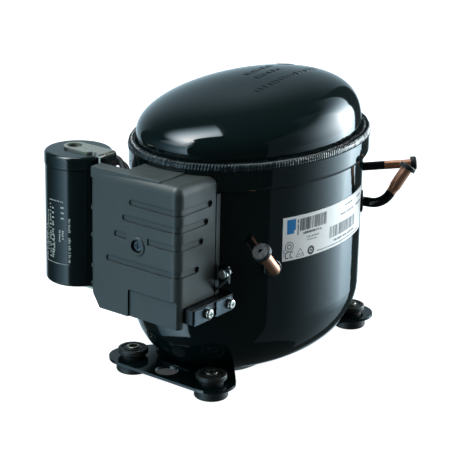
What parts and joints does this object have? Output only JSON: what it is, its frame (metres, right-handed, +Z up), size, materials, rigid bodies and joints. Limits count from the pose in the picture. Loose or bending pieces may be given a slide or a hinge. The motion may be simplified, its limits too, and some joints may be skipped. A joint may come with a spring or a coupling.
{
  "type": "hermetic reciprocating compressor",
  "caption": "Black welded oval compressor shell on rubber feet, with terminal box, start capacitor and pipe stubs; motor, crank and piston inside.",
  "frame": {"origin": "floor level at the centre of the four mounting feet", "axes": "+Z up along the crankshaft, -Y towards the terminal box, +X towards the side with the label and the pipe stubs"},
  "size_m": [0.1748, 0.2358, 0.1997],
  "materials": {
    "shell_enamel": "gloss black enamel",
    "weld_enamel": "gloss black enamel over rough weld",
    "plate_enamel": "gloss black enamel",
    "rubber": "matt black moulded rubber",
    "sleeve_steel": "zinc plated, dull",
    "tube_enamel": "gloss black enamel",
    "copper": "drawn copper, slightly oxidised",
    "plug_rubber": "satin rubber",
    "cover_plastic": "fine matt moulded plastic, dark grey",
    "clamp_plastic": "matt black moulded plastic",
    "clamp_steel": "dark zinc plate",
    "screw_steel": "bright zinc plate",
    "pin_steel": "nickel plate",
    "relay_plastic": "moulded phenolic",
    "capacitor_black": null,
    "zinc_steel": "yellow passivated zinc plate",
    "lead_sleeve": "black woven sleeve",
    "label": null,
    "lamination": "laminated steel edges",
    "winding": "enamelled copper wire",
    "rotor_metal": "laminated steel with cast end rings",
    "spring_steel": "oiled spring steel",
    "seat_plastic": "natural moulded plastic",
    "cast_iron": "as cast with machined faces",
    "gasket": "fibre sheet",
    "reed_steel": "polished strip steel",
    "ground_steel": "ground steel",
    "cast_head": "die cast",
    "muffler_plastic": "natural moulded plastic",
    "pressed_steel": "plain pressed steel"
  },
  "bodies": {
    "shell": {"lower_shell": "shell_enamel", "upper_shell": "shell_enamel", "weld_bead": "weld_enamel", "front_base_plate": "plate_enamel", "rear_base_plate": "plate_enamel", "mounting_sleeves": "sleeve_steel", "suction_tube": "tube_enamel", "suction_copper": "copper", "suction_collar": "tube_enamel", "suction_plug": "plug_rubber", "discharge_tube": "tube_enamel", "discharge_copper": "copper", "discharge_plug": "plug_rubber", "process_tube": "copper", "process_collar": "tube_enamel", "process_plug": "plug_rubber", "terminal_box_base": "cover_plastic", "terminal_cover": "cover_plastic", "cover_screw": "clamp_steel", "cord_clamp_block": "clamp_plastic", "cord_clamp_plates": "clamp_steel", "cord_clamp_screws": "screw_steel", "earth_tab": "tube_enamel", "earth_screw": "screw_steel", "hermetic_terminal": "shell_enamel", "terminal_pins": "pin_steel", "start_relay": "relay_plastic", "overload_protector": "relay_plastic", "capacitor_can": "capacitor_black", "capacitor_cap": "capacitor_black", "capacitor_bracket": "zinc_steel", "capacitor_leads": "lead_sleeve", "rating_label": "label", "stator": "lamination", "stator_windings": "winding", "stator_bolts": "screw_steel", "suspension_springs": "spring_steel", "spring_seats": "seat_plastic", "cylinder_block": "cast_iron", "barrel_gasket": "gasket", "suction_reed": "reed_steel", "valve_plate": "ground_steel", "discharge_reed": "reed_steel", "head_gasket": "gasket", "cylinder_head": "cast_head", "head_screws": "screw_steel", "suction_muffler": "muffler_plastic", "discharge_muffler": "pressed_steel", "discharge_line": "pressed_steel", "thrust_washer": "reed_steel", "grommet_front_left": "rubber", "grommet_front_right": "rubber", "grommet_rear_left": "rubber", "grommet_rear_right": "rubber"},
    "crank": {"crankshaft": "ground_steel", "rotor": "rotor_metal", "oil_pickup": "pressed_steel"},
    "rod": {"connecting_rod": "cast_head", "wrist_pin": "ground_steel"},
    "piston": {"piston": "ground_steel"}
  },
  "joints": [
    {"name": "crank_spin", "type": "hinge", "parent": "shell", "child": "crank", "pos_m": [0, 0, 0.06], "axis": [0, 0, 1], "continuous": true},
    {"name": "rod_turn", "type": "hinge", "parent": "crank", "child": "rod", "pos_m": [0, 0.007, 0.147], "axis": [0, 0, 1], "continuous": true},
    {"name": "piston_stroke", "type": "slide", "parent": "shell", "child": "piston", "axis": [0, 1, 0], "range_m": [-0.014, 0]}
  ],
  "couplings": [
    {"joint": "rod_turn", "follows": "crank_spin", "ratio": -1}
  ]
}
